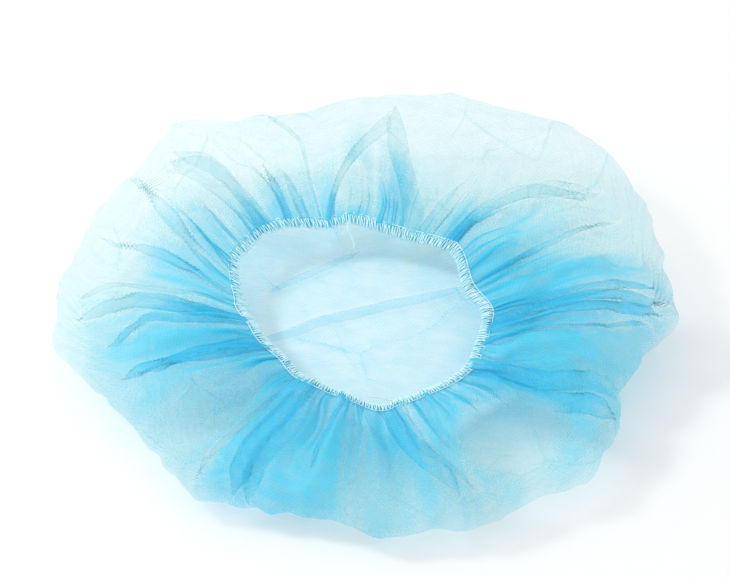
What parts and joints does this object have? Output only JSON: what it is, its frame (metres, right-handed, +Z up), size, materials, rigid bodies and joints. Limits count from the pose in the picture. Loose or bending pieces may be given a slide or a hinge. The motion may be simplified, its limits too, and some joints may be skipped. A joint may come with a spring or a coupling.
{
  "type": "disposable hairnet",
  "caption": "Disposable hair cover: a round panel of thin translucent blue nonwoven gathered onto a serged elastic edge, lying on its crown with the opening up.",
  "frame": {"origin": "middle of the cap's box, on the surface that the crown lies on", "axes": "+Z up through the gathered opening, out of the crown; +X along the longest way across the puff"},
  "size_m": [0.3174, 0.2934, 0.0511],
  "materials": {
    "nonwoven": "thin translucent spunbond polypropylene, matte with fine fibre streaks",
    "hem": "gathered nonwoven over elastic thread, matte",
    "thread": "textured overlock thread"
  },
  "bodies": {
    "root": {"crown_panel": "nonwoven", "elastic_edge": "hem"}
  },
  "joints": []
}
